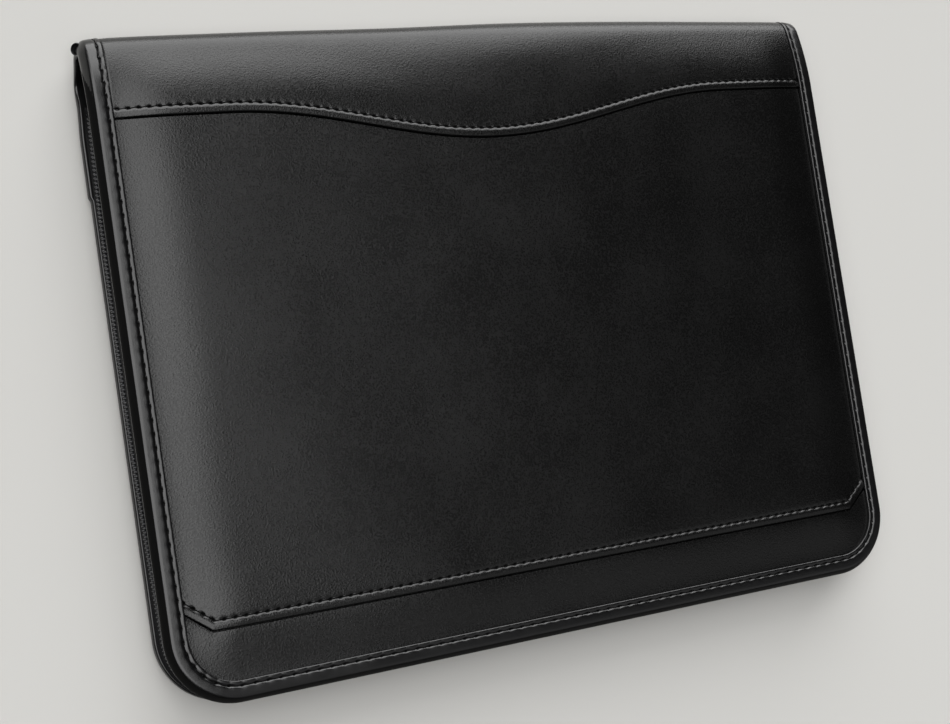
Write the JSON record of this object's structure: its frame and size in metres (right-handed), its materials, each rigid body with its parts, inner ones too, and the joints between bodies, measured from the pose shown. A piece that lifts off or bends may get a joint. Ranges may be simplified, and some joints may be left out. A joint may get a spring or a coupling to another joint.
{
  "type": "zippered conference folder",
  "caption": "Closed zippered conference folder in black grained leather with a wave-edged spine yoke, hemmed front panel, bound edges and a zip round the open sides.",
  "frame": {"origin": "centre of the underside of the back, on the surface the closed folder lies on", "axes": "+X along the spine to the right seen from the front, +Y towards the spine, +Z out of the front cover"},
  "size_m": [0.35, 0.2676, 0.0255],
  "materials": {
    "cover_leather": "fine grained, satin",
    "binding_leather": "smooth, satin, stitched",
    "zip_tape": "woven, matt",
    "zip_teeth": "moulded, dull",
    "slider_metal": "dark plated"
  },
  "bodies": {
    "root": {"front_panel": "cover_leather", "lower_band": "cover_leather", "spine_yoke": "cover_leather", "back_panel": "cover_leather", "edge_binding": "binding_leather", "zip_tape_front": "zip_tape", "zip_tape_back": "zip_tape", "zip_chain": "zip_teeth", "zip_slider": "slider_metal"}
  },
  "joints": []
}
